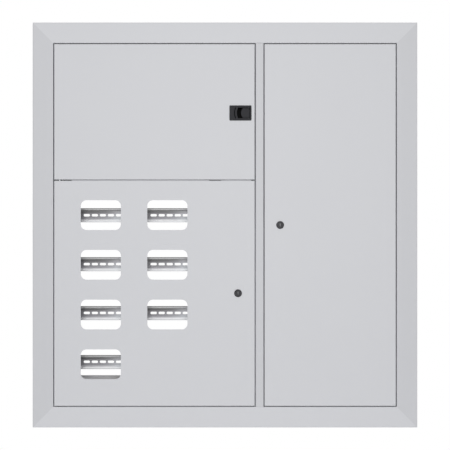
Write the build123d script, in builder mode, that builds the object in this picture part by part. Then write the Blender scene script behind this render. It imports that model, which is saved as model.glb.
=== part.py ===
from build123d import *
import os

os.makedirs("parts", exist_ok=True)

# Flush-mounted floor distribution board: a folded steel casing in a trim frame,
# with three hinged doors. X is to the right, Y goes into the wall, Z is up.
# The origin is the centre of the rear fixing plane, and the doors face -Y.

# Overall sizes
board_width = 950
board_height = 1000
board_depth = 140

# Sheet steel
steel = 1.5
door_steel = 1.2
bend = 1.8

# Trim frame
frame_face = 51
frame_hem = 8
frame_return = 24
stop_lip = 11
mullion_width = 20
mullion_x = 85.5

crossbar_fin = 1.2
crossbar_fin_inset = 4
middle_relief_far = 115
middle_relief_near = 85.5
end_relief_far = 10.5

# Doors
door_gap = 2
door_return = 11
door_bend = 1.4
split_z = 111

# Casing
casing_inset = 30
front_flange = 31
side_rear_return = 30
end_rear_return = 82
corner_flange = 15
partition_flange = 7
partition_rear_return = 20
partition_gap = 1.5
flange_clearance = 0.5

# Hinges: vertical pins on bracket arms that reach forward past the stop lip
pivot_inset = 13
pivot_depth = 6.5
pin_radius = 2.5
pin_clearance = 0.07
pin_end_inset = 0.3
arm_width = 7
bracket_steel = 2
bracket_tab = 20
bracket_foot_depth = 9
pivot_plate = 3
pivot_plate_length = 26
arm_clearance = 1
arm_slot_depth = 1.8
opening_relief = 43

# Windows of the lower left door
window_width = 99
window_height = 73.5
window_corner = 14
window_pitch = 122.8
window_top_drop = 85.5
window_inset = 65.8
window_spacing = 164.4
left_windows = 4
right_windows = 3

# Locks
lower_lock_inset = 43.3
right_lock_inset = 40.6
right_lock_rise = 0
lock_head_radius = 9.6
lock_head = 2
lock_head_edge = 0.7
lock_body_radius = 8
lock_plug_radius = 5.6
lock_nut_width = 22
lock_nut_height = 4
turning_clearance = 0.06
cam_length = 38
cam_width = 14
cam_steel = 2
cam_clearance = 1.5
cam_square = 6.7
cam_screw_height = 2.2
key_slot_width = 1.8
key_slot_length = 8
key_slot_depth = 6

# Latch
latch_inset = 37.3
latch_rise = 165.6
latch_width = 54.6
latch_height = 37.3
latch_rim = 2.3
latch_rim_height = 1.5
latch_rim_edge = 0.5
latch_depth = 19
latch_wall = 1.6
latch_pocket_width = 32.7
latch_pocket_height = 26.4
latch_pocket_right = 3.4
latch_pocket_bow = 2.8
latch_groove_width = 2.2
latch_groove_depth = 6
latch_groove_spacing = 5.8
paddle_width = 21
paddle_bow = 5.3
paddle_steel = 3.6
paddle_gap = 0.6
paddle_boss_wall = 1.2
paddle_swing_gap = 1.4
latch_pin_radius = 1
latch_pin_inset = 3.4
latch_pin_depth = 3
nose_clearance = 1
nose_set_back = 2
nose_height = 13.2
nose_steel = 3.5
nose_slot_length = 10

# Rails and what carries them
rail_height = 35
rail_hat_width = 27
rail_depth = 7.5
rail_steel = 1
rail_bend = 1.2
meter_rail_length = 160
breaker_rail_length = 400
rail_slot_length = 16
rail_slot_height = 6.2
rail_slot_pitch = 20.2
meter_rail_slots = 5
rail_end_overhang = 6
rail_left_offset = -0.3
rail_right_offset = 3.3
post_set_back = 56
post_depth = 30
side_post_width = 26
middle_post_width = 40
carrier_bar_height = 30
carrier_bar_drop = 20
carrier_tab = 20

# Upper compartment
cover_set_back = 38
breaker_plate_rise = 39
breaker_plate_height = 250
breaker_plate_foot = 20
breaker_rail_pitch = 125
breaker_front = 45
cover_return = 10
cover_margin = 12
slot_height = 46
slot_margin = 30
pillar_width = 10
pillar_inset = 18

# Right compartment
comms_plate_height = 700
comms_plate_foot = 16

# Terminal bars
bar_length = 200
bar_height = 12
bar_thickness = 6
neutral_bar_rise = 55
earth_bar_rise = 25
insulator_width = 14
insulator_height = 20
insulator_edge = 2
bar_edge = 0.8
neutral_stand_off = 22
earth_stand_off = 12

# Riser cut-outs in the top and bottom walls
riser_depth = 60
riser_set_in = 60
left_riser_width = 96
right_riser_width = 200

# Fixings
fixing_inset_x = 65
fixing_inset_z = 41
fixing_hole_radius = 5

# How far a cutting shape runs past the sheet that it cuts
cut_margin = 1

# Faces and edges worked out from the sizes above
front_y = -board_depth
half_width = board_width / 2
half_height = board_height / 2
inner_x = half_width - frame_face
inner_z = half_height - frame_face
lip_front_y = front_y + frame_return - steel
lip_back_y = front_y + frame_return
casing_x = half_width - casing_inset
casing_z = half_height - casing_inset
inside_x = casing_x - steel
inside_z = casing_z - steel
mullion_left = mullion_x - mullion_width / 2
mullion_right = mullion_x + mullion_width / 2
door_left = -inner_x + door_gap
door_top = inner_z - door_gap
door_back_y = front_y + door_steel
pivot_x = inner_x - door_gap - pivot_inset
pivot_y = front_y + pivot_depth
pin_hole_radius = pin_radius + pin_clearance
upper_door_bottom = split_z + door_gap / 2
lower_door_top = split_z - door_gap / 2
bracket_back_y = lip_back_y + steel
partition_left = mullion_x - steel / 2
partition_right = mullion_x + steel / 2
partition_front_y = front_y + steel + partition_gap
foot_y = -2 * steel
window_left_x = door_left + window_inset + window_width / 2
window_right_x = window_left_x + window_spacing
rail_left_x = window_left_x + rail_left_offset
rail_right_x = window_right_x + rail_right_offset
lower_lock_x = mullion_left - lower_lock_inset
lower_lock_z = (lower_door_top - door_top) / 2
right_lock_x = mullion_right + right_lock_inset
right_lock_z = right_lock_rise
latch_x = mullion_left - latch_inset
latch_z = split_z + latch_rise
post_front = board_depth - post_set_back
carrier_bar_z = split_z - carrier_bar_drop
plate_front = board_depth - cover_set_back - steel - breaker_front - rail_depth
breaker_plate_bottom = split_z + breaker_plate_rise
breaker_plate_top = breaker_plate_bottom + breaker_plate_height
neutral_bar_z = neutral_bar_rise - casing_z
earth_bar_z = earth_bar_rise - casing_z
fixing_x = casing_x - fixing_inset_x
fixing_z = casing_z - fixing_inset_z


def sheet_outline(points, thickness, radius, side=Side.LEFT):
    """Section of a folded sheet whose visible face runs through the points."""
    with BuildLine() as section:
        FilletPolyline(*points, radius=radius)
        offset(amount=thickness, side=side)
    make_face(section.edges())


def punch(points, radius, from_y, to_y):
    """Round holes through sheets that stand square to Y."""
    with BuildSketch(Plane.XZ.offset(-from_y)) as holes:
        with Locations(*points):
            Circle(radius)
    extrude(holes.sketch, amount=from_y - to_y, mode=Mode.SUBTRACT)


def cut_block(x_range, y_range, z_range):
    """A rectangular piece taken out between the given limits."""
    centre = [(low + high) / 2 for low, high in (x_range, y_range, z_range)]
    size = [high - low for low, high in (x_range, y_range, z_range)]
    with Locations(tuple(centre)):
        Box(*size, mode=Mode.SUBTRACT)


def add_block(x_range, y_range, z_range):
    """A rectangular piece added between the given limits."""
    centre = [(low + high) / 2 for low, high in (x_range, y_range, z_range)]
    size = [high - low for low, high in (x_range, y_range, z_range)]
    with Locations(tuple(centre)):
        Box(*size)


def finish(part, label):
    """Name the piece and write its file."""
    part.label = label
    export_step(part, "parts/" + label + ".step")


# Trim frame: four folded profiles with mitred corners
frame_members = {
    "frame_left_stile": ((-half_width, 0), (1, 0, 0), (0, 0, 1), board_height),
    "frame_right_stile": ((half_width, 0), (-1, 0, 0), (0, 0, -1), board_height),
    "frame_top_rail": ((0, half_height), (0, 0, -1), (1, 0, 0), board_width),
    "frame_bottom_rail": ((0, -half_height), (0, 0, 1), (-1, 0, 0), board_width),
}
for name, (start, inward, along, length) in frame_members.items():
    corner = Vector(start[0], front_y, start[1])
    inward = Vector(*inward)
    along = Vector(*along)
    with BuildPart() as member:
        with BuildSketch(Plane(origin=corner, x_dir=inward, z_dir=along)):
            sheet_outline(
                [
                    (0, frame_hem),
                    (0, 0),
                    (frame_face, 0),
                    (frame_face, frame_return - steel),
                    (frame_face + stop_lip, frame_return - steel),
                ],
                steel,
                bend,
            )
        extrude(amount=length / 2, both=True)
        for end in (-1, 1):
            tip = corner + along * (end * length / 2)
            split(bisect_by=Plane(origin=tip, z_dir=inward + along * end), keep=Keep.BOTTOM)
    finish(member.part, name)

# Mullion: a hat profile between the two columns of doors
with BuildPart() as mullion:
    with BuildSketch(Plane.XY):
        sheet_outline(
            [
                (mullion_left - stop_lip, lip_front_y),
                (mullion_left, lip_front_y),
                (mullion_left, front_y),
                (mullion_right, front_y),
                (mullion_right, lip_front_y),
                (mullion_right + stop_lip, lip_front_y),
            ],
            steel,
            bend,
        )
    extrude(amount=inner_z, both=True)
    for end in (-1, 1):
        cope = sorted((end * (inner_z - stop_lip), end * half_height))
        cope_x = (mullion_left - 2 * stop_lip, mullion_right + 2 * stop_lip)
        cut_block(cope_x, (lip_front_y - bend, 0), cope)
finish(mullion.part, "mullion")

# Crossbar: a tee behind the gap between the left doors, cut back at the hinge,
# at the middle and at the mullion
middle_relief = (mullion_left - middle_relief_far, mullion_left - middle_relief_near)
end_relief = (mullion_left - end_relief_far, mullion_left)
hinge_relief_end = door_left + opening_relief
with BuildPart() as crossbar:
    add_block(
        (hinge_relief_end, mullion_left),
        (front_y + crossbar_fin_inset, lip_front_y),
        (split_z - crossbar_fin / 2, split_z + crossbar_fin / 2),
    )
    add_block(
        (-inner_x + stop_lip, mullion_left - stop_lip),
        (lip_front_y, lip_back_y),
        (split_z - stop_lip, split_z + stop_lip),
    )
    for relief in (middle_relief, end_relief):
        cut_block(
            relief,
            (front_y, lip_front_y),
            (split_z - crossbar_fin, split_z + crossbar_fin),
        )
    cut_block(
        (-inner_x + stop_lip, -pivot_x + arm_width / 2 + arm_clearance),
        (lip_front_y, lip_back_y),
        (split_z - bracket_steel, split_z + bracket_steel),
    )
finish(crossbar.part, "crossbar")

# Casing side walls: front flange behind the frame's lip, rear return on the wall
for side, name in ((-1, "left_casing_wall"), (1, "right_casing_wall")):
    with BuildPart() as side_wall:
        with BuildSketch(Plane.XY):
            sheet_outline(
                [
                    (side * (casing_x - side_rear_return), 0),
                    (side * casing_x, 0),
                    (side * casing_x, lip_back_y),
                    (side * (casing_x - front_flange), lip_back_y),
                ],
                steel,
                bend,
                Side.LEFT if side < 0 else Side.RIGHT,
            )
        extrude(amount=inside_z, both=True)
    finish(side_wall.part, name)

# Casing top and bottom walls: coped between the side flanges, with riser openings
riser_slots = [
    (window_left_x, left_riser_width),
    (window_right_x, left_riser_width),
    ((mullion_x + inside_x) / 2, right_riser_width),
]
for side, name in ((-1, "bottom_casing_wall"), (1, "top_casing_wall")):
    with BuildPart() as end_wall:
        with BuildSketch(Plane.YZ):
            sheet_outline(
                [
                    (0, side * (casing_z - end_rear_return)),
                    (0, side * casing_z),
                    (lip_back_y, side * casing_z),
                    (lip_back_y, side * (casing_z - front_flange)),
                ],
                steel,
                bend,
                Side.LEFT if side > 0 else Side.RIGHT,
            )
        extrude(amount=casing_x, both=True)
        below_web = sorted((side * (casing_z - end_rear_return - steel), side * inside_z))
        coped = casing_x - front_flange - flange_clearance
        cut_block((-casing_x - steel, -coped), (front_y, steel), below_web)
        cut_block((coped, casing_x + steel), (front_y, steel), below_web)
        for end in (-1, 1):
            flange_x = sorted((end * inside_x, end * (inside_x - steel)))
            flange_z = sorted((side * (inside_z - corner_flange), side * inside_z))
            add_block(flange_x, (lip_back_y + corner_flange, -corner_flange), flange_z)
        with BuildSketch(Plane.XY.offset(side * (casing_z - steel / 2))):
            for centre_x, width in riser_slots:
                with Locations((centre_x, -riser_set_in)):
                    Rectangle(width, riser_depth)
        extrude(amount=steel, both=True, mode=Mode.SUBTRACT)
        fixing_points = [(-fixing_x, side * fixing_z), (fixing_x, side * fixing_z)]
        punch(fixing_points, fixing_hole_radius, -steel - cut_margin, cut_margin)
    finish(end_wall.part, name)

# Partition behind the mullion, coped at the end walls
with BuildPart() as partition:
    with BuildSketch(Plane.XY):
        sheet_outline(
            [
                (partition_left - partition_flange, partition_front_y),
                (partition_right, partition_front_y),
                (partition_right, -steel),
                (partition_right + partition_rear_return, -steel),
            ],
            steel,
            bend,
        )
    extrude(amount=inside_z, both=True)
    for side in (-1, 1):
        front_cope = sorted((side * (inner_z - stop_lip - flange_clearance), side * casing_z))
        rear_cope = sorted((side * (casing_z - end_rear_return - flange_clearance), side * casing_z))
        wide = (partition_left - frame_face, partition_right + frame_face)
        cut_block(wide, (front_y, bracket_back_y + flange_clearance), front_cope)
        cut_block(wide, (-steel - flange_clearance, steel), rear_cope)
finish(partition.part, "partition_wall")

# Meter posts: channels from the bottom wall up to the tie bar
rail_seat = meter_rail_length / 2 - rail_end_overhang
side_post_left_x = rail_left_x - rail_seat
side_post_right_x = rail_right_x + rail_seat
middle_post_x = (rail_left_x + rail_right_x) / 2
post_top = carrier_bar_z + carrier_bar_height / 2
window_rows = [
    lower_door_top - window_top_drop - row * window_pitch for row in range(left_windows)
]
meter_rails = [(rail_left_x, z) for z in window_rows[:left_windows]]
meter_rails += [(rail_right_x, z) for z in window_rows[:right_windows]]
posts = {
    "meter_post_left": (side_post_left_x, side_post_width),
    "meter_post_middle": (middle_post_x, middle_post_width),
    "meter_post_right": (side_post_right_x, side_post_width),
}
for name, (post_x, width) in posts.items():
    with BuildPart() as post:
        with BuildSketch(Plane.XY.offset(-inside_z)):
            sheet_outline(
                [
                    (post_x - width / 2, -post_front + post_depth),
                    (post_x - width / 2, -post_front),
                    (post_x + width / 2, -post_front),
                    (post_x + width / 2, -post_front + post_depth),
                ],
                steel,
                bend,
            )
        extrude(amount=inside_z + post_top)
    finish(post.part, name)

# Tie bar across the heads of the posts, from the left wall to the partition
with BuildPart() as tie_bar:
    with BuildSketch(Plane.XY.offset(carrier_bar_z - carrier_bar_height / 2)):
        sheet_outline(
            [
                (-inside_x, -post_front - steel + carrier_tab),
                (-inside_x, -post_front - steel),
                (partition_left, -post_front - steel),
                (partition_left, -post_front - steel + carrier_tab),
            ],
            steel,
            bend,
        )
    extrude(amount=carrier_bar_height)
finish(tie_bar.part, "post_tie_bar")


def hat_rail(centre_x, centre_z, back_y, length):
    """Top-hat rail with its web on the plane back_y, open side forward."""
    flange = rail_height / 2
    hat = rail_hat_width / 2 - rail_steel
    front = back_y - rail_depth
    web = back_y - rail_steel
    with BuildSketch(Plane.YZ.offset(centre_x - length / 2)) as section:
        sheet_outline(
            [
                (front, centre_z + flange),
                (front, centre_z + hat),
                (web, centre_z + hat),
                (web, centre_z - hat),
                (front, centre_z - hat),
                (front, centre_z - flange),
            ],
            rail_steel,
            rail_bend,
        )
    extrude(section.sketch, amount=length)


# Meter rails, one behind each window, welded to the posts and slotted between them
for number, (rail_x, rail_z) in enumerate(meter_rails, start=1):
    with BuildPart() as meter_rail:
        hat_rail(rail_x, rail_z, -post_front, meter_rail_length)
        with BuildSketch(Plane.XZ.offset(post_front - cut_margin)):
            with Locations((rail_x, rail_z)):
                with GridLocations(rail_slot_pitch, rail_height, meter_rail_slots, 1):
                    SlotOverall(rail_slot_length, rail_slot_height)
        extrude(amount=rail_steel + 2 * cut_margin, mode=Mode.SUBTRACT)
    finish(meter_rail.part, "meter_rail_" + str(number))

# Breaker plate: a bridge from the left rear return to the partition
plate_left = -casing_x + side_rear_return + steel
plate_middle_x = (plate_left + partition_left) / 2
breaker_z = (breaker_plate_bottom + breaker_plate_top) / 2
breaker_rows = [breaker_z + breaker_rail_pitch / 2, breaker_z - breaker_rail_pitch / 2]
pillar_points = [
    (x, z)
    for x in (plate_left + pillar_inset, partition_left - pillar_inset)
    for z in (breaker_plate_bottom + pillar_inset, breaker_plate_top - pillar_inset)
]
with BuildPart() as breaker_plate:
    with BuildSketch(Plane.XY.offset(breaker_plate_bottom)):
        sheet_outline(
            [
                (plate_left - breaker_plate_foot, foot_y),
                (plate_left, foot_y),
                (plate_left, -plate_front),
                (partition_left, -plate_front),
                (partition_left, -plate_front + carrier_tab),
            ],
            steel,
            bend,
        )
    extrude(amount=breaker_plate_top - breaker_plate_bottom)
finish(breaker_plate.part, "breaker_plate")

# Breaker rails: plain top-hat strip, welded to the plate
for row, name in zip(breaker_rows, ("breaker_rail_upper", "breaker_rail_lower")):
    with BuildPart() as breaker_rail:
        hat_rail(plate_middle_x, row, -plate_front, breaker_rail_length)
    finish(breaker_rail.part, name)

# Breaker cover on four hexagonal pillars, with a slot for each row of breakers
cover_back_y = -plate_front - rail_depth - breaker_front
cover_left = plate_left + cover_margin / 2
cover_right = partition_left - cover_margin / 2
cover_width = cover_right - cover_left
cover_height = breaker_plate_top - breaker_plate_bottom
with BuildPart() as cover_pillars:
    with BuildSketch(Plane.XZ.offset(plate_front)):
        with Locations(*pillar_points):
            RegularPolygon(pillar_width / 2, 6, major_radius=False)
    extrude(amount=-cover_back_y - plate_front)
finish(cover_pillars.part, "cover_pillars")

with BuildPart() as breaker_cover:
    with BuildSketch(Plane.XZ.offset(-cover_back_y + steel)):
        with Locations(((cover_left + cover_right) / 2, breaker_z)):
            Rectangle(cover_width, cover_height)
    extrude(amount=-cover_return)
    back = faces().sort_by(Axis.Y)[-1]
    offset(amount=-steel, openings=back)
    with BuildSketch(Plane.XZ.offset(-cover_back_y + steel + cut_margin)):
        for row in breaker_rows:
            with Locations((plate_middle_x, row)):
                Rectangle(breaker_rail_length - slot_margin, slot_height)
    extrude(amount=-steel - 2 * cut_margin, mode=Mode.SUBTRACT)
finish(breaker_cover.part, "breaker_cover")

# Communications plate in the right compartment
comms_left = partition_right + partition_rear_return
comms_right = casing_x - side_rear_return - steel
with BuildPart() as comms_plate:
    with BuildSketch(Plane.XY):
        sheet_outline(
            [
                (comms_left - comms_plate_foot, foot_y),
                (comms_left, foot_y),
                (comms_left, -plate_front),
                (comms_right, -plate_front),
                (comms_right, foot_y),
                (comms_right + comms_plate_foot, foot_y),
            ],
            steel,
            bend,
        )
    extrude(amount=comms_plate_height / 2, both=True)
finish(comms_plate.part, "communications_plate")

# Neutral and earth bars on insulators, on the rear strip of the bottom wall
bar_x = middle_post_x
insulator_points = [bar_x - bar_length / 2 + insulator_width, bar_x + bar_length / 2 - insulator_width]
terminal_bars = {
    "neutral": (neutral_bar_z, neutral_stand_off),
    "earth": (earth_bar_z, earth_stand_off),
}
for name, (bar_z, stand_off) in terminal_bars.items():
    seat_y = -steel - stand_off
    with BuildPart() as insulators:
        with BuildSketch(Plane.XZ.offset(steel)):
            with Locations(*[(x, bar_z) for x in insulator_points]):
                Rectangle(insulator_width, insulator_height)
        extrude(amount=stand_off)
        chamfer(edges().filter_by(Axis.Y), length=insulator_edge)
    finish(insulators.part, name + "_bar_insulators")
    with BuildPart() as bar:
        add_block(
            (bar_x - bar_length / 2, bar_x + bar_length / 2),
            (seat_y - bar_thickness, seat_y),
            (bar_z - bar_height / 2, bar_z + bar_height / 2),
        )
        chamfer(edges().filter_by(Axis.X), length=bar_edge)
    finish(bar.part, name + "_bar")

# Hinge brackets: a foot behind the casing flange, an arm forward to the pin
inner_arm_z = inner_z - stop_lip - arm_clearance - bracket_steel / 2
shared_arm_z = split_z - door_steel / 2
hinge_brackets = {
    "hinge_bracket_left_top": (-1, inner_arm_z),
    "hinge_bracket_left_middle": (-1, shared_arm_z),
    "hinge_bracket_left_bottom": (-1, -inner_arm_z),
    "hinge_bracket_right_top": (1, inner_arm_z),
    "hinge_bracket_right_bottom": (1, -inner_arm_z),
}
for name, (side, arm_z) in hinge_brackets.items():
    axis_x = side * pivot_x
    foot_x = side * inner_x
    arm_edge = axis_x - side * arm_width / 2
    tab_x = sorted((foot_x, axis_x + side * arm_width / 2))
    tab_direction = -1 if arm_z > 0 else 1
    with BuildPart() as bracket:
        with BuildSketch(Plane.XY.offset(arm_z - bracket_steel / 2)):
            with Locations((axis_x, (pivot_y + bracket_back_y) / 2)):
                Rectangle(arm_width, bracket_back_y - pivot_y)
            with Locations((axis_x, pivot_y)):
                Circle(arm_width / 2)
                Circle(pin_radius, mode=Mode.SUBTRACT)
            with Locations(((foot_x + arm_edge) / 2, bracket_back_y + bracket_foot_depth / 2)):
                Rectangle(abs(foot_x - arm_edge), bracket_foot_depth)
        extrude(amount=bracket_steel)
        tab_z = sorted((arm_z, arm_z + tab_direction * bracket_tab))
        add_block(tab_x, (bracket_back_y, bracket_back_y + bracket_steel), tab_z)
    finish(bracket.part, name)

# Hinge pins, one in each bracket
relief_top = lower_door_top - door_steel
inner_pin = (inner_arm_z - bracket_steel, door_top - pin_end_inset)
shared_pin = (
    relief_top - pivot_plate - arm_clearance,
    upper_door_bottom + door_steel + pivot_plate + arm_clearance / 2,
)
hinge_pins = [
    (-pivot_x, *inner_pin),
    (-pivot_x, *shared_pin),
    (-pivot_x, -inner_pin[1], -inner_pin[0]),
    (pivot_x, *inner_pin),
    (pivot_x, -inner_pin[1], -inner_pin[0]),
]
with BuildPart() as pins:
    for pin_x, low, high in hinge_pins:
        with Locations((pin_x, pivot_y, (low + high) / 2)):
            Cylinder(pin_radius, high - low)
finish(pins.part, "hinge_pins")


def door_tray(x_range, z_range):
    """Front sheet with four returns, open to the back."""
    width = x_range[1] - x_range[0]
    height = z_range[1] - z_range[0]
    with BuildSketch(Plane.XZ.offset(board_depth)) as outline:
        with Locations((x_range[0] + width / 2, z_range[0] + height / 2)):
            Rectangle(width, height)
    extrude(outline.sketch, amount=-door_return)
    fillet(faces().sort_by(Axis.Y)[0].edges(), radius=door_bend)
    offset(amount=-door_steel, openings=faces().sort_by(Axis.Y)[-1])


def pin_hole(side, z_range):
    """Running hole for a hinge pin."""
    low, high = z_range
    with Locations((side * pivot_x, pivot_y, (low + high) / 2)):
        Cylinder(pin_hole_radius, high - low, mode=Mode.SUBTRACT)


def arm_slot(side, arm_z):
    """Slot in the hinge-side return that lets the bracket arm pass as the door opens."""
    edge = side * (inner_x - door_gap)
    cut_block(
        sorted((edge - side * arm_slot_depth, edge + side * cut_margin)),
        (door_back_y, front_y + door_return + cut_margin),
        (arm_z - bracket_steel / 2 - arm_clearance, arm_z + bracket_steel / 2 + arm_clearance),
    )


# Each door: hinge side, sheet limits, and its two pivots from bottom to top
left_columns = (door_left, mullion_left - door_gap)
right_columns = (mullion_right + door_gap, -door_left)
upper_z = (upper_door_bottom, door_top)
lower_z = (-door_top, lower_door_top)
full_z = (-door_top, door_top)
plate_on_top = (door_top - door_steel - pivot_plate, door_top - door_steel)
plate_on_bottom = (-plate_on_top[1], -plate_on_top[0])
plate_above_split = (upper_door_bottom + door_steel, upper_door_bottom + door_steel + pivot_plate)
plate_below_split = (relief_top - pivot_plate, relief_top)
lock_hole = lock_body_radius + turning_clearance
doors = {
    "upper_left_door": (-1, left_columns, upper_z, (plate_above_split, plate_on_top)),
    "lower_left_door": (-1, left_columns, lower_z, (plate_on_bottom, plate_below_split)),
    "right_door": (1, right_columns, full_z, (plate_on_bottom, plate_on_top)),
}
for name, (side, x_range, z_range, plates) in doors.items():
    with BuildPart() as door:
        door_tray(x_range, z_range)
        pin_hole(side, (z_range[0] - cut_margin, z_range[0] + door_steel + cut_margin))
        pin_hole(side, (z_range[1] - door_steel - cut_margin, z_range[1] + cut_margin))
        if name != "lower_left_door":
            arm_slot(side, inner_arm_z)
        if name != "upper_left_door":
            arm_slot(side, -inner_arm_z)
        if name == "upper_left_door":
            cut_width = latch_width - 2 * latch_rim
            cut_height = latch_height - 2 * latch_rim
            with BuildSketch(Plane.XZ.offset(board_depth + cut_margin)):
                with Locations((latch_x, latch_z)):
                    Rectangle(cut_width, cut_height)
            extrude(amount=-door_steel - 2 * cut_margin, mode=Mode.SUBTRACT)
        if name == "lower_left_door":
            with BuildSketch(Plane.XZ.offset(board_depth + cut_margin)):
                for row in window_rows[:left_windows]:
                    with Locations((window_left_x, row)):
                        RectangleRounded(window_width, window_height, window_corner)
                for row in window_rows[:right_windows]:
                    with Locations((window_right_x, row)):
                        RectangleRounded(window_width, window_height, window_corner)
            extrude(amount=-door_steel - 2 * cut_margin, mode=Mode.SUBTRACT)
            hinge_relief = (door_left - cut_margin, hinge_relief_end)
            corner_relief = (end_relief[0], x_range[1] - door_steel)
            for relief in (hinge_relief, middle_relief, corner_relief):
                through = (front_y - cut_margin, front_y + door_return + cut_margin)
                cut_block(relief, through, (relief_top, lower_door_top + cut_margin))
            punch([(lower_lock_x, lower_lock_z)], lock_hole, front_y - cut_margin, door_back_y + cut_margin)
        if name == "right_door":
            punch([(right_lock_x, right_lock_z)], lock_hole, front_y - cut_margin, door_back_y + cut_margin)
    finish(door.part, name)
    with BuildPart() as pivots:
        for plate_z in plates:
            edge = side * (inner_x - door_gap - door_steel)
            add_block(
                sorted((edge, edge - side * pivot_plate_length)),
                (door_back_y + door_bend - door_steel, front_y + door_return),
                plate_z,
            )
            pin_hole(side, (plate_z[0] - cut_margin, plate_z[1] + cut_margin))
    finish(pivots.part, name + "_pivot_plates")

# Key locks: headed barrel, nut behind the door, turning plug, cam and its screw
cam_front_y = lip_back_y + cam_clearance
plug_front_y = front_y - lock_head
locks = {
    "lower": (lower_lock_x, lower_lock_z),
    "right": (right_lock_x, right_lock_z),
}
for name, (lock_x, lock_z) in locks.items():
    centre = (lock_x, lock_z)
    with BuildPart() as barrel:
        with BuildSketch(Plane.XZ.offset(board_depth)):
            with Locations(centre):
                Circle(lock_head_radius)
        extrude(amount=lock_head)
        chamfer(faces().sort_by(Axis.Y)[0].edges(), length=lock_head_edge)
        with BuildSketch(Plane.XZ.offset(board_depth)):
            with Locations(centre):
                Circle(lock_body_radius)
        extrude(amount=front_y - cam_front_y)
        bore = lock_plug_radius + turning_clearance
        punch([centre], bore, plug_front_y - cut_margin, cam_front_y + cut_margin)
    finish(barrel.part, name + "_lock_barrel")
    with BuildPart() as nut:
        with BuildSketch(Plane.XZ.offset(-door_back_y)):
            with Locations(centre):
                RegularPolygon(lock_nut_width / 2, 6, major_radius=False)
                Circle(lock_body_radius + turning_clearance, mode=Mode.SUBTRACT)
        extrude(amount=-lock_nut_height)
    finish(nut.part, name + "_lock_nut")
    with BuildPart() as plug:
        with BuildSketch(Plane.XZ.offset(-plug_front_y)):
            with Locations(centre):
                Circle(lock_plug_radius)
        extrude(amount=plug_front_y - cam_front_y + turning_clearance)
        with BuildSketch(Plane.XZ.offset(-cam_front_y + turning_clearance)):
            with Locations(centre):
                Rectangle(cam_square, cam_square)
        extrude(amount=-cam_steel - turning_clearance)
        with BuildSketch(Plane.XZ.offset(-plug_front_y)):
            with Locations(centre):
                Rectangle(key_slot_width, key_slot_length)
        extrude(amount=-key_slot_depth, mode=Mode.SUBTRACT)
    finish(plug.part, name + "_lock_plug")
    with BuildPart() as cam:
        with BuildSketch(Plane.XZ.offset(-cam_front_y)):
            with Locations((lock_x, lock_z + cam_length / 2)):
                SlotOverall(cam_length + cam_width, cam_width, rotation=90)
            with Locations(centre):
                Rectangle(cam_square, cam_square, mode=Mode.SUBTRACT)
        extrude(amount=-cam_steel)
    finish(cam.part, name + "_lock_cam")
    with BuildPart() as cam_screw:
        with BuildSketch(Plane.XZ.offset(-cam_front_y - cam_steel)):
            with Locations(centre):
                RegularPolygon(lock_plug_radius, 6)
        extrude(amount=-cam_screw_height)
    finish(cam_screw.part, name + "_lock_cam_screw")

# Pull latch: moulded cup, paddle that swings on a pin, nose behind the mullion's lip
pocket_right = latch_x + latch_width / 2 - latch_pocket_right
pocket_left = pocket_right - latch_pocket_width
body_width = latch_width - 2 * latch_rim - 2 * turning_clearance
body_height = latch_height - 2 * latch_rim - 2 * turning_clearance
rim_y = front_y - latch_rim_height
latch_pin_x = pocket_right - latch_pin_inset
latch_pin_y = front_y + latch_pin_depth
paddle_right = pocket_right - paddle_swing_gap
paddle_left = paddle_right - paddle_width
with BuildPart() as housing:
    with BuildSketch(Plane.XZ.offset(-rim_y)):
        with Locations((latch_x, latch_z)):
            RectangleRounded(latch_width, latch_height, latch_rim)
    extrude(amount=-latch_rim_height)
    chamfer(faces().sort_by(Axis.Y)[0].edges(), length=latch_rim_edge)
    with BuildSketch(Plane.XZ.offset(board_depth)):
        with Locations((latch_x, latch_z)):
            Rectangle(body_width, body_height)
    extrude(amount=-latch_depth)
    with BuildSketch(Plane.XZ.offset(-rim_y)) as pocket:
        with BuildLine():
            half = latch_pocket_height / 2
            top = (pocket_right, latch_z + half)
            bottom = (pocket_right, latch_z - half)
            Line((pocket_left + latch_pocket_bow, latch_z - half), bottom)
            Line(bottom, top)
            Line(top, (pocket_left + latch_pocket_bow, latch_z + half))
            ThreePointArc(
                (pocket_left + latch_pocket_bow, latch_z + half),
                (pocket_left, latch_z),
                (pocket_left + latch_pocket_bow, latch_z - half),
            )
        make_face()
    extrude(amount=-latch_rim_height - latch_depth + latch_wall, mode=Mode.SUBTRACT)
    groove_x = pocket_left - latch_groove_spacing
    with BuildSketch(Plane.XZ.offset(-rim_y)):
        with BuildLine() as groove:
            ThreePointArc(
                (groove_x + latch_pocket_bow, latch_z + latch_pocket_height / 2),
                (groove_x, latch_z),
                (groove_x + latch_pocket_bow, latch_z - latch_pocket_height / 2),
            )
        trace(line_width=latch_groove_width)
    extrude(amount=-latch_groove_depth, mode=Mode.SUBTRACT)
    nose_slot = (latch_pin_x - nose_slot_length, pocket_right)
    cut_block(
        nose_slot,
        (front_y + latch_depth - 2 * latch_wall, front_y + latch_depth + cut_margin),
        (latch_z - nose_height / 2 - paddle_gap, latch_z + nose_height / 2 + paddle_gap),
    )
    with Locations((latch_pin_x, latch_pin_y, latch_z)):
        Cylinder(latch_pin_radius, body_height, mode=Mode.SUBTRACT)
finish(housing.part, "latch_housing")

with BuildPart() as latch_pin:
    with Locations((latch_pin_x, latch_pin_y, latch_z)):
        Cylinder(latch_pin_radius, body_height)
finish(latch_pin.part, "latch_pin")

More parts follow.
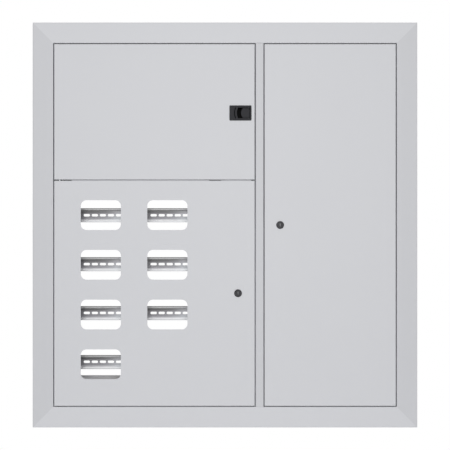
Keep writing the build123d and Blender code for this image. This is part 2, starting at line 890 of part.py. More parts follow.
paddle_height = latch_pocket_height - 2 * paddle_gap
nose_front_y = lip_back_y + nose_set_back
nose_tip_y = nose_front_y + nose_steel
nose_right = mullion_left - stop_lip - nose_clearance
with BuildPart() as paddle:
    with BuildSketch(Plane.XZ.offset(board_depth)):
        with BuildLine():
            half = paddle_height / 2
            Line((paddle_left + paddle_bow, latch_z - half), (paddle_right, latch_z - half))
            Line((paddle_right, latch_z - half), (paddle_right, latch_z + half))
            Line((paddle_right, latch_z + half), (paddle_left + paddle_bow, latch_z + half))
            ThreePointArc(
                (paddle_left + paddle_bow, latch_z + half),
                (paddle_left, latch_z),
                (paddle_left + paddle_bow, latch_z - half),
            )
        make_face()
    extrude(amount=-paddle_steel)
    boss = latch_pin_radius + paddle_boss_wall
    with BuildSketch(Plane.XY.offset(latch_z - paddle_height / 2)):
        with Locations((latch_pin_x, latch_pin_y)):
            Circle(boss)
            Rectangle(2 * boss, latch_pin_y - front_y, align=(Align.CENTER, Align.MAX))
    extrude(amount=paddle_height)
    with BuildSketch(Plane.XY.offset(latch_z - nose_height / 2)):
        with BuildLine():
            Polyline(
                (latch_pin_x - boss, latch_pin_y),
                (latch_pin_x, latch_pin_y),
                (latch_pin_x, nose_front_y),
                (nose_right, nose_front_y),
                (nose_right, nose_tip_y),
                (latch_pin_x - boss, nose_tip_y),
                close=True,
            )
        make_face()
    extrude(amount=nose_height)
    with Locations((latch_pin_x, latch_pin_y, latch_z)):
        Cylinder(latch_pin_radius + turning_clearance, body_height, mode=Mode.SUBTRACT)
finish(paddle.part, "latch_paddle")
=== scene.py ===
import bmesh
import bpy
import math
from mathutils import Matrix, Vector


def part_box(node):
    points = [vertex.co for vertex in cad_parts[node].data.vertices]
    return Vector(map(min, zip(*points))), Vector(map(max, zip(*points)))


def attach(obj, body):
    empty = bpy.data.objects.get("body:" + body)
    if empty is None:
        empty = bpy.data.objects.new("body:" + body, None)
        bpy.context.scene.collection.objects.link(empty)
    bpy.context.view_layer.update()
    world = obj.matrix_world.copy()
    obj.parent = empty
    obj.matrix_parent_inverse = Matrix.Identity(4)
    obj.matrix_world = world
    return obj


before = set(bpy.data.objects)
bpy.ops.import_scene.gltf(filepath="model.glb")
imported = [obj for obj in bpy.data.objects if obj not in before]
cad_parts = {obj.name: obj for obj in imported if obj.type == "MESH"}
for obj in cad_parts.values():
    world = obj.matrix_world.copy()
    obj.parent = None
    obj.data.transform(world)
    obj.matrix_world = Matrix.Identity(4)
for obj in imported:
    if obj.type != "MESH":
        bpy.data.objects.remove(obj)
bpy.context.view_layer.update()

# Camera: straight in front of the doors at eye level, far enough that the frame
# nearly fills the picture and the rails inside look only a little smaller.
camera_distance = 3.0
view_width = 1.1111
sensor_width = 36
front_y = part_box("frame_top_rail")[0].y
camera_data = bpy.data.cameras.new("photo_camera")
camera_data.sensor_width = sensor_width
camera_data.lens = sensor_width * camera_distance / view_width
camera = bpy.data.objects.new("photo_camera", camera_data)
camera.location = (0, front_y - camera_distance, 0)
camera.rotation_euler = (math.pi / 2, 0, 0)
bpy.context.scene.collection.objects.link(camera)
bpy.context.scene.camera = camera

# Trim frame, mullion, crossbar and casing: folded sheet steel, welded up and
# powder coated light grey. The coat is even, with a very fine orange peel, and
# the upright members look a shade darker than the rails, as in the photo.
rail_grey = "#D0D1D5"
rail_grey_cloud = "#CECFD3"
upright_grey = "#C8C9CD"
upright_grey_cloud = "#C6C7CB"
casing_grey = "#DCDCDE"
casing_grey_cloud = "#D8D8DA"
satin_roughness = 0.42
casing_roughness = 0.5
polyester_ior = 1.5
orange_peel_mm = 2.2
orange_peel_strength = 0.06
orange_peel_depth = 0.0002
coat_cloud_mm = 160
coat_cloud_detail = 3.0
fine_detail = 2.0            # octaves of every fine grain
share, colour_a, colour_b, blended = 0, 6, 7, 2      # sockets of a colour Mix node


def linear(colour):
    """sRGB hex to the linear values that a shader wants."""
    parts = [int(colour[place:place + 2], 16) / 255 for place in (1, 3, 5)]
    return [p / 12.92 if p <= 0.04045 else ((p + 0.055) / 1.055) ** 2.4 for p in parts] + [1]


def per_mm(size):
    """Texture scale at which one feature is this many millimetres wide."""
    return 1000 / size


def add_node(tree, kind, settings=None, links=None):
    """Add one node, set its properties and sockets, and link what feeds it."""
    node = tree.nodes.new(kind)
    for key, value in (settings or {}).items():
        if hasattr(node, str(key)):
            setattr(node, key, value)
        else:
            node.inputs[key].default_value = value
    for key, (source, output) in (links or {}).items():
        tree.links.new(source.outputs[output], node.inputs[key])
    return node


def empty_material(name):
    """A material with no nodes yet, and its node tree."""
    material = bpy.data.materials.new(name)
    material.use_nodes = True
    material.node_tree.nodes.clear()
    return material, material.node_tree


def powder_coat(name, colour, cloudy, roughness=satin_roughness):
    """Polyester powder coat on steel: smooth, satin, with a fine orange peel."""
    material, tree = empty_material(name)
    place = add_node(tree, "ShaderNodeTexCoord")
    cloud = add_node(tree, "ShaderNodeTexNoise",
                     {"Scale": per_mm(coat_cloud_mm), "Detail": coat_cloud_detail},
                     {"Vector": (place, "Object")})
    tint = add_node(tree, "ShaderNodeMix",
                    {"data_type": "RGBA", colour_a: linear(colour), colour_b: linear(cloudy)},
                    {share: (cloud, "Fac")})
    peel = add_node(tree, "ShaderNodeTexNoise",
                    {"Scale": per_mm(orange_peel_mm), "Detail": fine_detail},
                    {"Vector": (place, "Object")})
    bump = add_node(tree, "ShaderNodeBump",
                    {"Strength": orange_peel_strength, "Distance": orange_peel_depth},
                    {"Height": (peel, "Fac")})
    coat = add_node(tree, "ShaderNodeBsdfPrincipled", {"Roughness": roughness, "IOR": polyester_ior},
                    {"Base Color": (tint, blended), "Normal": (bump, "Normal")})
    add_node(tree, "ShaderNodeOutputMaterial", links={"Surface": (coat, "BSDF")})
    return material


def dress(material, *names):
    """Give these CAD nodes the material."""
    for name in names:
        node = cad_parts[name]
        node.data.materials.clear()
        node.data.materials.append(material)


rail_coat = powder_coat("powder_coated_steel_rails", rail_grey, rail_grey_cloud)
upright_coat = powder_coat("powder_coated_steel_uprights", upright_grey, upright_grey_cloud)
casing_coat = powder_coat("powder_coated_steel_casing", casing_grey, casing_grey_cloud,
                          casing_roughness)
dress(rail_coat, "frame_top_rail", "frame_bottom_rail", "crossbar")
dress(upright_coat, "frame_left_stile", "frame_right_stile", "mullion")
dress(casing_coat, "left_casing_wall", "right_casing_wall", "top_casing_wall",
      "bottom_casing_wall", "partition_wall")

# Screws that hold the trim frame to the casing: zinc-plated steel, cold headed,
# with a pan head, a cross recess and a rolled thread. Their heads lie on the
# lips behind the doors, and their points show behind the casing's flanges.
screw_zinc = "#A9ABAE"
screw_zinc_dark = "#8B8D91"
plating_cloud_mm = 6
plating_cloud_detail = 4.0
plating_shine = 0.35
plated_metallic = 0.9
fine_bump_strength = 0.05
fine_bump_depth = 0.0001
screw_head_radius = 0.0036
screw_head_height = 0.0022
screw_shank_radius = 0.002
screw_thread_depth = 0.0003
screw_thread_turns = 7
screw_length = 0.0075
head_flat_share = 0.72       # of the head's radius is flat, and the rest is crowned
crown_height_share = 0.6     # of the head's height
neck_share, thread_share, tip_share = 0.2, 0.7, 0.1      # of the shank's length
tip_radius_share = 0.6
recess_size = 0.0038
recess_depth = 0.0014
recess_taper = 0.45
recess_grid = 3
cross_cells = ((0, 0), (1, 0), (-1, 0), (0, 1), (0, -1))
round_steps = 20
crown_steps = 4
side_screw_rows = (-0.3, 0, 0.3)
end_screw_columns = (-0.375, -0.075, 0.225)
lip_screw_inset = 0.0055
lip_sheet = 0.0015
screw_turns = (0.3, 1.1, 0.7, 0.1, 0.9)      # where the driver stopped, in radians
both_sides = (-1, 1)
crease_degrees = 35
to_front = Matrix.Rotation(math.pi / 2, 3, "X")


def plated_steel(name, dark, light, roughness=plating_shine):
    """Zinc plate on machined steel: metallic, lightly clouded, with a soft shine."""
    material, tree = empty_material(name)
    place = add_node(tree, "ShaderNodeTexCoord")
    cloud = add_node(tree, "ShaderNodeTexNoise",
                     {"Scale": per_mm(plating_cloud_mm), "Detail": plating_cloud_detail},
                     {"Vector": (place, "Object")})
    tint = add_node(tree, "ShaderNodeMix",
                    {"data_type": "RGBA", colour_a: linear(dark), colour_b: linear(light)},
                    {share: (cloud, "Fac")})
    bump = add_node(tree, "ShaderNodeBump",
                    {"Strength": fine_bump_strength, "Distance": fine_bump_depth},
                    {"Height": (cloud, "Fac")})
    metal = add_node(tree, "ShaderNodeBsdfPrincipled",
                     {"Metallic": plated_metallic, "Roughness": roughness},
                     {"Base Color": (tint, blended), "Normal": (bump, "Normal")})
    add_node(tree, "ShaderNodeOutputMaterial", links={"Surface": (metal, "BSDF")})
    return material


def round_loop(build, radius):
    """A loop of round_steps edges about the Y axis. Gives its vertices."""
    ring = bmesh.ops.create_circle(build, segments=round_steps, radius=radius)["verts"]
    bmesh.ops.rotate(build, verts=ring, matrix=to_front)
    return ring


def widen(build, edges, radius, drop):
    """Extrude a round loop of edges to a new radius, further along Y by the drop."""
    made = bmesh.ops.extrude_edge_only(build, edges=edges)["geom"]
    verts = [item for item in made if isinstance(item, bmesh.types.BMVert)]
    factor = radius / math.hypot(verts[0].co.x, verts[0].co.z)
    bmesh.ops.scale(build, vec=(factor, 1, factor), verts=verts)
    bmesh.ops.translate(build, vec=(0, drop, 0), verts=verts)
    return [item for item in made if isinstance(item, bmesh.types.BMEdge) and item.is_boundary]


def threaded(build, rim, radius, turns, length):
    """Carry a rim along Y in as many grooves and ridges as the thread has turns."""
    half_turn = length / turns / 2
    for turn in range(turns):
        rim = widen(build, rim, radius - screw_thread_depth, half_turn)
        rim = widen(build, rim, radius, half_turn)
    return rim


def headed_screw(head_radius, head_height, shank_radius, length, recess_cells):
    """A pan-head screw along Y with its seat at y = 0 and its head towards -Y.
    The recess is cut from a grid of three by three cells, of which it has those named."""
    build = bmesh.new()
    bmesh.ops.create_grid(build, x_segments=recess_grid, y_segments=recess_grid, size=recess_size / 2)
    bmesh.ops.rotate(build, verts=build.verts, matrix=to_front)
    spare = []
    for face in build.faces:
        centre = face.calc_center_median() * recess_grid / recess_size
        if (round(centre.x), round(centre.z)) not in recess_cells:
            spare.append(face)
    bmesh.ops.delete(build, geom=spare, context="FACES")
    mouth = [edge for edge in build.edges if edge.is_boundary]
    cells = build.faces[:]
    floor_part = bmesh.ops.extrude_face_region(build, geom=cells)["geom"]
    floor_verts = [item for item in floor_part if isinstance(item, bmesh.types.BMVert)]
    bmesh.ops.delete(build, geom=[face for face in cells if face.is_valid], context="FACES")
    bmesh.ops.scale(build, vec=(recess_taper, 1, recess_taper), verts=floor_verts)
    bmesh.ops.translate(build, vec=(0, recess_depth, 0), verts=floor_verts)
    ring = round_loop(build, head_radius * head_flat_share)
    rim = [edge for edge in build.edges if edge.verts[0] in ring and edge.verts[1] in ring]
    mouth = [edge for edge in mouth if edge.is_valid]
    bmesh.ops.bridge_loops(build, edges=mouth + rim)
    bmesh.ops.translate(build, verts=build.verts, vec=(0, -head_height, 0))
    level = -head_height
    for step in range(1, crown_steps + 1):
        angle = step / crown_steps * math.pi / 2
        radius = head_radius * (head_flat_share + (1 - head_flat_share) * math.sin(angle))
        new_level = head_height * (crown_height_share * (1 - math.cos(angle)) - 1)
        rim = widen(build, rim, radius, new_level - level)
        level = new_level
    rim = widen(build, rim, head_radius, -level)
    rim = widen(build, rim, shank_radius, 0)
    rim = widen(build, rim, shank_radius, length * neck_share)
    rim = threaded(build, rim, shank_radius, screw_thread_turns, length * thread_share)
    rim = widen(build, rim, shank_radius * tip_radius_share, length * tip_share)
    bmesh.ops.holes_fill(build, edges=rim, sides=round_steps)
    return build


def pan_screw(length):
    """The cross-recess pan head, on a shank of this length."""
    return headed_screw(screw_head_radius, screw_head_height, screw_shank_radius, length, cross_cells)


def repeated(one, places, turns=(0,)):
    """Copies of a shape in one bmesh, moved to each place and turned in its own plane."""
    template = bpy.data.meshes.new("template")
    one.to_mesh(template)
    one.free()
    group = bmesh.new()
    for number, place in enumerate(places):
        before = len(group.verts)
        group.from_mesh(template)
        group.verts.ensure_lookup_table()
        turn = Matrix.Rotation(turns[number % len(turns)], 4, "Y")
        bmesh.ops.transform(group, matrix=Matrix.Translation(place) @ turn, verts=group.verts[before:])
    bpy.data.meshes.remove(template)
    return group


def add_piece(name, build, material, body):
    """Make the finished shape a named piece on its body, in its material slot."""
    bmesh.ops.recalc_face_normals(build, faces=build.faces)
    for face in build.faces:
        face.smooth = True
    mesh = bpy.data.meshes.new(name)
    build.to_mesh(mesh)
    build.free()
    mesh.set_sharp_from_angle(angle=math.radians(crease_degrees))
    mesh.materials.append(material)
    piece = bpy.data.objects.new(name, mesh)
    bpy.context.scene.collection.objects.link(piece)
    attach(piece, body)


screw_steel = plated_steel("zinc_plated_screw_steel", screw_zinc_dark, screw_zinc)
lip_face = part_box("crossbar")[1].y - lip_sheet
side_screw_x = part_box("frame_right_stile")[0].x + lip_screw_inset
end_screw_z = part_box("frame_top_rail")[0].z + lip_screw_inset
frame_screw_places = [(side * side_screw_x, lip_face, row)
                      for side in both_sides for row in side_screw_rows]
frame_screw_places += [(column, lip_face, side * end_screw_z)
                       for side in both_sides for column in end_screw_columns]
add_piece("frame_screws", repeated(pan_screw(screw_length), frame_screw_places, screw_turns),
          screw_steel, "casing")

# Posts, tie bar and plates: galvanised sheet, folded. The zinc is a dull blue
# grey with a faint spangle, and it is left bare.
sheet_zinc = "#B9BBBF"
sheet_zinc_light = "#CBCDD0"
sheet_metallic = 0.5
sheet_roughness = 0.5
spangle_mm = 9


def galvanised(name, dark, light):
    """Hot-dip zinc on sheet steel: dull metal with a spangle of flat grains."""
    material, tree = empty_material(name)
    place = add_node(tree, "ShaderNodeTexCoord")
    spangle = add_node(tree, "ShaderNodeTexVoronoi", {"Scale": per_mm(spangle_mm)},
                       {"Vector": (place, "Object")})
    grain = add_node(tree, "ShaderNodeSeparateColor", links={"Color": (spangle, "Color")})
    tint = add_node(tree, "ShaderNodeMix",
                    {"data_type": "RGBA", colour_a: linear(dark), colour_b: linear(light)},
                    {share: (grain, "Red")})
    metal = add_node(tree, "ShaderNodeBsdfPrincipled",
                     {"Metallic": sheet_metallic, "Roughness": sheet_roughness},
                     {"Base Color": (tint, blended)})
    add_node(tree, "ShaderNodeOutputMaterial", links={"Surface": (metal, "BSDF")})
    return material


sheet_metal = galvanised("galvanised_sheet_steel", sheet_zinc, sheet_zinc_light)
dress(sheet_metal, "meter_post_left", "meter_post_middle", "meter_post_right", "post_tie_bar",
      "breaker_plate", "communications_plate")

# Meter and breaker rails: cold rolled top-hat strip, zinc plated, with fine lines along the strip.
# Light and shade are painted into the colour: painted shade on the web and the cut edges, a painted
# highlight on the lower flange, and painted shade at the left end of each rail that fades to light at
# the right.
rail_pitch = 0.1228
rail_column_pitch = 0.168
strip_height_mm = 35
strip_shade_bands = (          # mm above the lower edge, painted shade and light at the shaded end and at the lit end
    (0, "#7C7C80", "#98989C"),       # painted shade on the cut edge of the lower flange
    (2, "#D2D2D5", "#D4D5D8"),       # painted highlight on the lower flange
    (4.2, "#F6F6F8", "#F6F8FA"),
    (8.5, "#838287", "#AEB1B5"),     # painted shade on the web
    (22, "#727174", "#A5A5AA"),
    (26.5, "#38383A", "#949497"),    # painted shadow below the upper flange
    (32, "#BABABA", "#B6B6B8"),      # painted light on the upper flange
    (34.5, "#242426", "#444446"))    # painted shade on the cut edge of the upper flange
shaded_end, lit_end = 1, 2
plain_end = 0.04             # length at each end that keeps its tone
tone_power = 3.0
rolling_line_mm = 0.6        # drawn coarser than the real 0.2 mm, so that they show
rolling_line_stretch = 0.03
rolling_line_tone = (0.9, 1.1)
strip_metallic = 0.2
strip_roughness = 0.45


def strip_ramp(tree, across, end):
    """Painted light and shade across the strip from its lower edge up, as at one of its ends."""
    ramp = add_node(tree, "ShaderNodeValToRGB", links={"Fac": (across, "Result")})
    stops = ramp.color_ramp.elements
    stops.remove(stops[1])
    stops[0].color = linear(strip_shade_bands[0][end])
    for band in strip_shade_bands[1:]:
        stops.new(band[0] / strip_height_mm).color = linear(band[end])
    return ramp


def wrapped(tree, axes, axis, low, high, pitch):
    """A coordinate that starts again on each rail of a row or column."""
    half_gap = (pitch - (high - low)) / 2
    return add_node(tree, "ShaderNodeMath",
                    {"operation": "WRAP", 1: high + half_gap, 2: low - half_gap}, {0: (axes, axis)})


def rolled_strip(name, first_rail, row_pitch, column_pitch):
    """Zinc plate on cold rolled strip with rolling lines, and painted shade above, a painted highlight
    below and painted shade at the left end of every rail.
    """
    low, high = first_rail
    material, tree = empty_material(name)
    place = add_node(tree, "ShaderNodeTexCoord")
    axes = add_node(tree, "ShaderNodeSeparateXYZ", links={"Vector": (place, "Object")})
    in_row = wrapped(tree, axes, "Z", low.z, high.z, row_pitch)
    in_column = wrapped(tree, axes, "X", low.x, high.x, column_pitch)
    across = add_node(tree, "ShaderNodeMapRange", {"From Min": low.z, "From Max": high.z},
                      {"Value": (in_row, "Value")})
    along = add_node(tree, "ShaderNodeMapRange",
                     {"From Min": low.x + plain_end, "From Max": high.x - plain_end},
                     {"Value": (in_column, "Value")})
    # painted shade and light, as at the shaded left end and at the lit right end of a rail
    dull = strip_ramp(tree, across, shaded_end)
    bright = strip_ramp(tree, across, lit_end)
    # how far the painted shade of the left end has faded to the painted light of the right end
    lit_share = add_node(tree, "ShaderNodeMath", {"operation": "POWER", 1: tone_power},
                         {0: (along, "Result")})
    plate = add_node(tree, "ShaderNodeMix", {"data_type": "RGBA"},
                     {share: (lit_share, "Value"), colour_a: (dull, "Color"),
                      colour_b: (bright, "Color")})
    stretch = add_node(tree, "ShaderNodeMapping", {"Scale": (rolling_line_stretch, 1, 1)},
                       {"Vector": (place, "Object")})
    lines = add_node(tree, "ShaderNodeTexNoise",
                     {"Scale": per_mm(rolling_line_mm), "Detail": fine_detail},
                     {"Vector": (stretch, "Vector")})
    line_tone = add_node(tree, "ShaderNodeMapRange",
                         {"To Min": rolling_line_tone[0], "To Max": rolling_line_tone[1]},
                         {"Value": (lines, "Fac")})
    tint = add_node(tree, "ShaderNodeVectorMath", {"operation": "SCALE"},
                    {0: (plate, blended), "Scale": (line_tone, "Result")})
    bump = add_node(tree, "ShaderNodeBump",
                    {"Strength": fine_bump_strength, "Distance": fine_bump_depth},
                    {"Height": (lines, "Fac")})
    metal = add_node(tree, "ShaderNodeBsdfPrincipled",
                     {"Metallic": strip_metallic, "Roughness": strip_roughness},
                     {"Base Color": (tint, "Vector"), "Normal": (bump, "Normal")})
    add_node(tree, "ShaderNodeOutputMaterial", links={"Surface": (metal, "BSDF")})
    return material


meter_rails = ["meter_rail_" + str(number) for number in range(1, 8)]
breaker_rails = ["breaker_rail_upper", "breaker_rail_lower"]
meter_metal = rolled_strip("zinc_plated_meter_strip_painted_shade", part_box("meter_rail_1"), rail_pitch,
                           rail_column_pitch)
dress(meter_metal, *meter_rails)
low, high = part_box("breaker_rail_lower")
breaker_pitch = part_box("breaker_rail_upper")[0].z - low.z
breaker_metal = rolled_strip("zinc_plated_breaker_strip_painted_shade", (low, high), breaker_pitch, high.x - low.x)
dress(breaker_metal, *breaker_rails)

# Spot welds: the rails are welded to the posts and to the breaker plate, and the
# posts to the tie bar. Each weld is a shallow round dimple with a raised rim, which
# the heat has left grey.
weld_grey = "#77787B"
weld_blue = "#8C8D93"
weld_roughness = 0.5
weld_radius = 0.0026
weld_rim = 0.0003
weld_rim_share = 0.85        # of the weld's radius
weld_dish_share = 0.6
weld_dish_depth = 0.7        # of the rim's height
weld_inset = 0.006
weld_half_spacing = 0.007
rail_sheet = 0.001


def weld_spot():
    """One weld mark in the XZ plane, facing -Y: a low rim round a shallow dish."""
    build = bmesh.new()
    round_loop(build, weld_radius)
    bmesh.ops.holes_fill(build, edges=build.edges[:], sides=round_steps)
    rim = widen(build, build.edges[:], weld_radius * weld_rim_share, -weld_rim)
    rim = widen(build, rim, weld_radius * weld_dish_share, weld_rim * weld_dish_depth)
    bmesh.ops.holes_fill(build, edges=rim, sides=round_steps)
    return build


weld_steel = plated_steel("spot_weld_steel", weld_grey, weld_blue, weld_roughness)
weld_places = []
for rail in meter_rails + breaker_rails:
    low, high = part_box(rail)
    middle_z = (low.z + high.z) / 2
    weld_places += [(weld_x, high.y - rail_sheet, middle_z + side * weld_half_spacing)
                    for weld_x in (low.x + weld_inset, high.x - weld_inset) for side in both_sides]
bar_low, bar_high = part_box("post_tie_bar")
middle_z = (bar_low.z + bar_high.z) / 2
for post in ("meter_post_left", "meter_post_middle", "meter_post_right"):
    low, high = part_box(post)
    weld_places += [((low.x + high.x) / 2, bar_low.y, middle_z + side * weld_half_spacing)
                    for side in both_sides]
add_piece("rail_spot_welds", repeated(weld_spot(), weld_places), weld_steel, "casing")

# Breaker cover, its pillars and its screws: the cover is coated like the doors,
# and four cross-head screws hold it to hexagonal steel pillars.
door_grey = "#CFD0D4"
door_grey_cloud = "#CDCED2"
pillar_radius = 0.0055
door_coat = powder_coat("powder_coated_steel_doors", door_grey, door_grey_cloud)
dress(door_coat, "breaker_cover")
dress(screw_steel, "cover_pillars")
cover_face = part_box("breaker_cover")[0].y
low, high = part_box("cover_pillars")
cover_screw_places = [(x, cover_face, z) for x in (low.x + pillar_radius, high.x - pillar_radius)
                      for z in (low.z + pillar_radius, high.z - pillar_radius)]
add_piece("cover_screws", repeated(pan_screw(screw_length), cover_screw_places, screw_turns),
          screw_steel, "casing")

# Screws of the communications plate: the same pan heads on short shanks, two in
# each foot, driven into the casing's rear returns.
foot_middle = 0.008
foot_front_y = -0.003
plate_screw_row = 0.3
plate_screw_length = 0.0025
low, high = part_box("communications_plate")
plate_screw_places = [(x, foot_front_y, side * plate_screw_row)
                      for x in (low.x + foot_middle, high.x - foot_middle) for side in both_sides]
add_piece("plate_screws", repeated(pan_screw(plate_screw_length), plate_screw_places, screw_turns),
          screw_steel, "casing")

# Terminal bars: drawn brass on pale moulded nylon blocks, each with a row of
# slotted clamp screws of bright brass.
brass_dark = "#AE8848"
brass_light = "#CBA660"
brass_roughness = 0.3
nylon_pale = "#D8D4C8"
nylon_pale_cloud = "#D2CEC2"
pale_nylon_roughness = 0.5
clamp_screws = 15
clamp_pitch = 0.012
clamp_head_radius = 0.0031
clamp_head_height = 0.0024
clamp_shank_radius = 0.002
clamp_length = 0.004
slot_cells = ((-1, 0), (0, 0), (1, 0))
bar_brass = plated_steel("drawn_brass", brass_dark, brass_light, brass_roughness)
bar_insulator = powder_coat("moulded_pale_nylon", nylon_pale, nylon_pale_cloud, pale_nylon_roughness)
dress(bar_brass, "neutral_bar", "earth_bar")
dress(bar_insulator, "neutral_bar_insulators", "earth_bar_insulators")
for bar in ("neutral_bar", "earth_bar"):
    low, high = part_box(bar)
    first = (low.x + high.x) / 2 - clamp_pitch * (clamp_screws - 1) / 2
    places = [(first + clamp_pitch * number, low.y, (low.z + high.z) / 2)
              for number in range(clamp_screws)]
    clamp_screw = headed_screw(clamp_head_radius, clamp_head_height, clamp_shank_radius,
                               clamp_length, slot_cells)
    add_piece(bar + "_screws", repeated(clamp_screw, places, screw_turns), bar_brass,
              "casing")

# Hinge brackets and pins: laser-cut strip and drawn rod, both zinc plated and a
# little duller than the screws. The latch's pin is of the same rod.
hinge_zinc_dark = "#8E9094"
hinge_zinc = "#A3A5A9"
hinge_roughness = 0.4
hinge_steel = plated_steel("zinc_plated_hinge_steel", hinge_zinc_dark, hinge_zinc, hinge_roughness)
dress(hinge_steel, "hinge_bracket_left_top", "hinge_bracket_left_middle",
      "hinge_bracket_left_bottom", "hinge_bracket_right_top", "hinge_bracket_right_bottom",
      "hinge_pins", "latch_pin")

# Doors: folded steel trays with welded pivot plates, in the same coat as the
# cover. Each has a welded earth stud near its hinge, with a nut and a washer.
door_sheet = 0.0012
stud_radius = 0.003
stud_length = 0.014
stud_thread_turns = 9
stud_tip_share = 0.75        # of the stud's radius
nut_across = 0.01
nut_height = 0.005
nut_sides = 6
washer_radius = 0.006
washer_height = 0.0012
washer_edge = 0.0003
stud_inset = 0.032
stud_rise = 0.025
doors = (        # body, node, side of its hinge
    ("upper_door", "upper_left_door", -1),
    ("lower_door", "lower_left_door", -1),
    ("right_door", "right_door", 1))


def ease(build, edges, width, steps):
    """Bevel these edges, as tumbling or moulding leaves them."""
    bmesh.ops.bevel(build, geom=edges, offset=width, segments=steps, affect="EDGES",
                    profile=0.5, material=-1)


def earth_stud():
    """A threaded stud along +Y from y = 0, with a washer and a hexagonal nut on it."""
    build = bmesh.new()
    round_loop(build, stud_radius)
    bmesh.ops.holes_fill(build, edges=build.edges[:], sides=round_steps)
    rim = threaded(build, build.edges[:], stud_radius, stud_thread_turns, stud_length)
    rim = widen(build, rim, stud_radius * stud_tip_share, stud_length / stud_thread_turns / 2)
    bmesh.ops.holes_fill(build, edges=rim, sides=round_steps)
    for radius, height, start, sides in (
            (washer_radius, washer_height, 0.0, round_steps),
            (nut_across / math.sqrt(3), nut_height, washer_height, nut_sides)):
        made = bmesh.ops.create_cone(build, cap_ends=True, segments=sides, radius1=radius,
                                     radius2=radius, depth=height)["verts"]
        bmesh.ops.rotate(build, verts=made, matrix=to_front)
        bmesh.ops.translate(build, verts=made, vec=(0, start + height / 2, 0))
        ease(build, list({edge for vert in made for edge in vert.link_edges}), washer_edge, 1)
    return build


for body, door, side in doors:
    dress(door_coat, door, door + "_pivot_plates")
    low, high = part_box(door)
    stud_x = low.x + stud_inset if side < 0 else high.x - stud_inset
    stud_place = (stud_x, low.y + door_sheet, low.z + stud_rise)
    add_piece(door + "_earth_stud", repeated(earth_stud(), [stud_place]), screw_steel, body)

# Key locks: die-cast zinc, dark nickel plated, with a sprung steel shutter just
# inside the key slot, which shows as a light line. The nut and cam are zinc plated.
lock_dark = "#202022"
lock_light = "#2C2C2E"
shutter_dark = "#5E5E60"
shutter_light = "#6A6A6C"
lock_roughness = 0.4
shutter_width = 0.0016
shutter_length = 0.0078
shutter_depth = 0.001
shutter_set_back = 0.0003
soft_edge = 0.0002
soft_edge_steps = 2
lock_metal = plated_steel("dark_nickel_plated_zinc", lock_dark, lock_light, lock_roughness)
shutter_steel = plated_steel("spring_steel_shutter", shutter_dark, shutter_light, lock_roughness)
for lock in ("lower_lock", "right_lock"):
    dress(lock_metal, lock + "_barrel", lock + "_plug")
    dress(hinge_steel, lock + "_nut", lock + "_cam", lock + "_cam_screw")
    low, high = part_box(lock + "_plug")
    shutter = bmesh.new()
    size = Matrix.Diagonal((shutter_width, shutter_depth, shutter_length, 1))
    bmesh.ops.create_cube(shutter, size=1, matrix=size)
    ease(shutter, shutter.edges[:], soft_edge, soft_edge_steps)
    middle = ((low.x + high.x) / 2, low.y + shutter_set_back + shutter_depth / 2,
              (low.z + high.z) / 2)
    bmesh.ops.translate(shutter, verts=shutter.verts, vec=middle)
    add_piece(lock + "_shutter", shutter, shutter_steel, lock)

# Latch: black glass-filled nylon, injection moulded, with a fine matt grain. Four
# moulded wedges behind the door sheet snap the cup into its opening. Its hollows hold painted shade.
nylon_black = "#353538"
nylon_worn = "#3E3E41"
# colour of the painted shade in the latch's hollows
nylon_painted_shade = "#020202"
nylon_roughness = 0.55
nylon_sheen = 0.05
nylon_grain_mm = 0.4             # drawn coarser than the real 0.1 mm, so that it shows
nylon_grain_strength = 0.2
painted_shade_reach = 0.02
painted_shade_open = (0.62, 0.93)       # ambient occlusion, as a share, at which the painted shade is full and at which it is gone
cup_edge = 0.0024
sheet_gap = 0.0002
lug_width = 0.008
lug_rise = 0.0016
lug_length = 0.006
lug_slope = 0.9                  # of the rise is lost at the lug's far end
lug_stations = (0.25, 0.75)      # of the cup's width


def grained_nylon(name):
    """Black nylon with a fine spark-eroded grain, and painted shade that turns the hollows plain
    black.
    """
    material, tree = empty_material(name)
    place = add_node(tree, "ShaderNodeTexCoord")
    grain = add_node(tree, "ShaderNodeTexNoise",
                     {"Scale": per_mm(nylon_grain_mm), "Detail": fine_detail},
                     {"Vector": (place, "Object")})
    tint = add_node(tree, "ShaderNodeMix",
                    {"data_type": "RGBA", colour_a: linear(nylon_black), colour_b: linear(nylon_worn)},
                    {share: (grain, "Fac")})
    # painted shade: ambient occlusion blackens the nylon in its hollows
    hollow = add_node(tree, "ShaderNodeAmbientOcclusion", {"Distance": painted_shade_reach})
    open_face = add_node(tree, "ShaderNodeMapRange",
                         {"From Min": painted_shade_open[0], "From Max": painted_shade_open[1]},
                         {"Value": (hollow, "AO")})
    colour = add_node(tree, "ShaderNodeMix", {"data_type": "RGBA", colour_a: linear(nylon_painted_shade)},
                      {share: (open_face, "Result"), colour_b: (tint, blended)})
    bump = add_node(tree, "ShaderNodeBump",
                    {"Strength": nylon_grain_strength, "Distance": fine_bump_depth},
                    {"Height": (grain, "Fac")})
    nylon = add_node(tree, "ShaderNodeBsdfPrincipled",
                     {"Roughness": nylon_roughness, "Specular IOR Level": nylon_sheen},
                     {"Base Color": (colour, blended), "Normal": (bump, "Normal")})
    add_node(tree, "ShaderNodeOutputMaterial", links={"Surface": (nylon, "BSDF")})
    return material


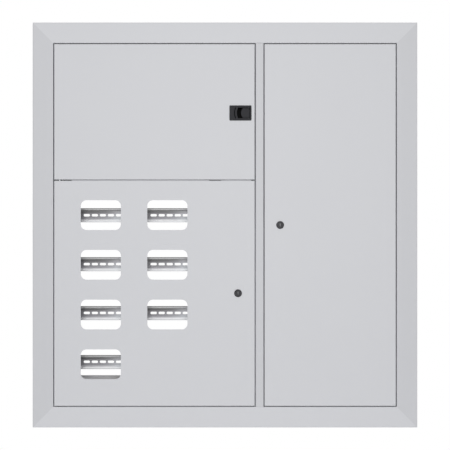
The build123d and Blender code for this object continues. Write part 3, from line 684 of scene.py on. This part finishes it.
latch_nylon = grained_nylon("moulded_black_nylon_painted_shade")
dress(latch_nylon, "latch_housing", "latch_paddle")
low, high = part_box("latch_housing")
wedge_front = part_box("upper_left_door")[0].y + door_sheet + sheet_gap
lugs = bmesh.new()
for side in both_sides:
    edge_z = (high.z if side > 0 else low.z) - side * (cup_edge - lug_rise / 2)
    for station in lug_stations:
        size = Matrix.Diagonal((lug_width, lug_length, lug_rise, 1))
        lug = bmesh.ops.create_cube(lugs, size=1, matrix=size)["verts"]
        slim = [vert for vert in lug if vert.co.y > 0 and vert.co.z * side > 0]
        bmesh.ops.translate(lugs, verts=slim, vec=(0, 0, -side * lug_rise * lug_slope))
        place = (low.x + (high.x - low.x) * station, wedge_front + lug_length / 2, edge_z)
        bmesh.ops.translate(lugs, verts=lug, vec=place)
ease(lugs, lugs.edges[:], soft_edge, soft_edge_steps)
add_piece("latch_snap_lugs", lugs, latch_nylon, "upper_door")

# Floor and background: a small pale floor well below the board, and a white
# surround that is plain white to the camera and in reflections, and gives an even light.
floor_pale = "#F4F4F4"
floor_roughness = 0.8
floor_drop = 0.3
floor_size = 2.2
surround_white = "#FFFFFF"
surround_light = 0.305
board_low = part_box("frame_left_stile")[0].z
floor_mesh = bpy.data.meshes.new("floor")
floor_build = bmesh.new()
bmesh.ops.create_grid(floor_build, x_segments=1, y_segments=1, size=floor_size / 2)
bmesh.ops.translate(floor_build, verts=floor_build.verts, vec=(0, 0, board_low - floor_drop))
floor_build.to_mesh(floor_mesh)
floor_build.free()
floor = bpy.data.objects.new("floor", floor_mesh)
bpy.context.scene.collection.objects.link(floor)
floor_paint, floor_tree = empty_material("pale_floor")
floor_body = add_node(floor_tree, "ShaderNodeBsdfPrincipled",
                      {"Base Color": linear(floor_pale), "Roughness": floor_roughness})
add_node(floor_tree, "ShaderNodeOutputMaterial", links={"Surface": (floor_body, "BSDF")})
floor_mesh.materials.append(floor_paint)

world = bpy.data.worlds.new("white_surround")
bpy.context.scene.world = world
world.use_nodes = True
sky = world.node_tree
sky.nodes.clear()
ray = add_node(sky, "ShaderNodeLightPath")
seen = add_node(sky, "ShaderNodeMath", {"operation": "MAXIMUM"},
                {0: (ray, "Is Camera Ray"), 1: (ray, "Is Transmission Ray")})
seen_or_mirrored = add_node(sky, "ShaderNodeMath", {"operation": "MAXIMUM"},
                            {0: (seen, "Value"), 1: (ray, "Is Glossy Ray")})
level = add_node(sky, "ShaderNodeMix", {"A": surround_light, "B": 1.0},
                 {"Factor": (seen_or_mirrored, "Value")})
surround = add_node(sky, "ShaderNodeBackground", {"Color": linear(surround_white)},
                    {"Strength": (level, "Result")})
add_node(sky, "ShaderNodeOutputWorld", links={"Surface": (surround, "Background")})

# Lamps: four wide soft ones that face the board. The main one is ahead of the
# doors, one is above to the left, and two light the right side and the back.
lamps = (        # name, place, width, watts
    ("key_lamp_above_left", (-3.4, -7.4, 3.2), 3.5, 80),
    ("fill_lamp_ahead", (0.15, -7.4, 0.9), 3.5, 246),
    ("side_lamp_right", (7.5, 1.2, 2.5), 3.0, 170),
    ("side_lamp_rear", (-3.5, 7.5, 3.5), 3.5, 190))
for name, place, size, power in lamps:
    lamp_data = bpy.data.lights.new(name, "AREA")
    lamp_data.size = size
    lamp_data.energy = power
    lamp = bpy.data.objects.new(name, lamp_data)
    lamp.location = place
    lamp.rotation_euler = (-Vector(place)).to_track_quat("-Z", "Y").to_euler()
    bpy.context.scene.collection.objects.link(lamp)

bpy.context.scene.view_settings.view_transform = "Standard"
